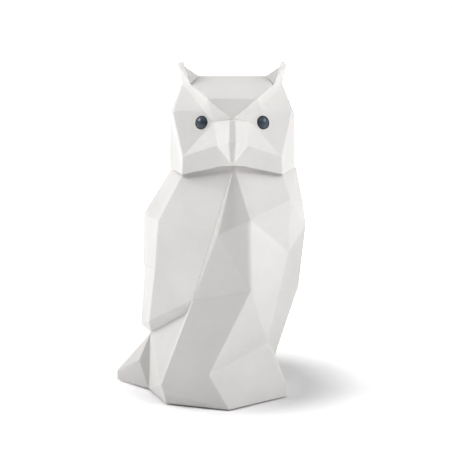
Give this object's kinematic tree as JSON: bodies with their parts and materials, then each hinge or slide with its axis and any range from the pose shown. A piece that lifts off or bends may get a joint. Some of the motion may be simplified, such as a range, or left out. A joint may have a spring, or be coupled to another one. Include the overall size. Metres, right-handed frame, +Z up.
{
  "type": "owl figurine",
  "caption": "Standing faceted porcelain owl with sharp folded planes, ear tufts, a wedge beak, folded wings, a side-swept tail and round glazed eyes",
  "frame": {"origin": "on the underside of the felt, on the vertical line through the middle of the head", "axes": "+Z up, -Y the way the owl faces, +X the owl's own left"},
  "size_m": [0.1355, 0.113, 0.2348],
  "materials": {
    "porcelain": "matte unglazed white bisque",
    "eye_glaze": "glossy slate blue glaze",
    "felt": "short wool felt"
  },
  "bodies": {
    "root": {"body_shell": "porcelain", "left_wing": "porcelain", "right_wing": "porcelain", "left_foot": "porcelain", "right_foot": "porcelain", "tail": "porcelain", "base_plate": "porcelain", "base_felt": "felt", "head_shell": "porcelain", "face_mask": "porcelain", "beak": "porcelain", "left_ear_tuft": "porcelain", "right_ear_tuft": "porcelain", "left_eye": "eye_glaze", "right_eye": "eye_glaze"}
  },
  "joints": []
}
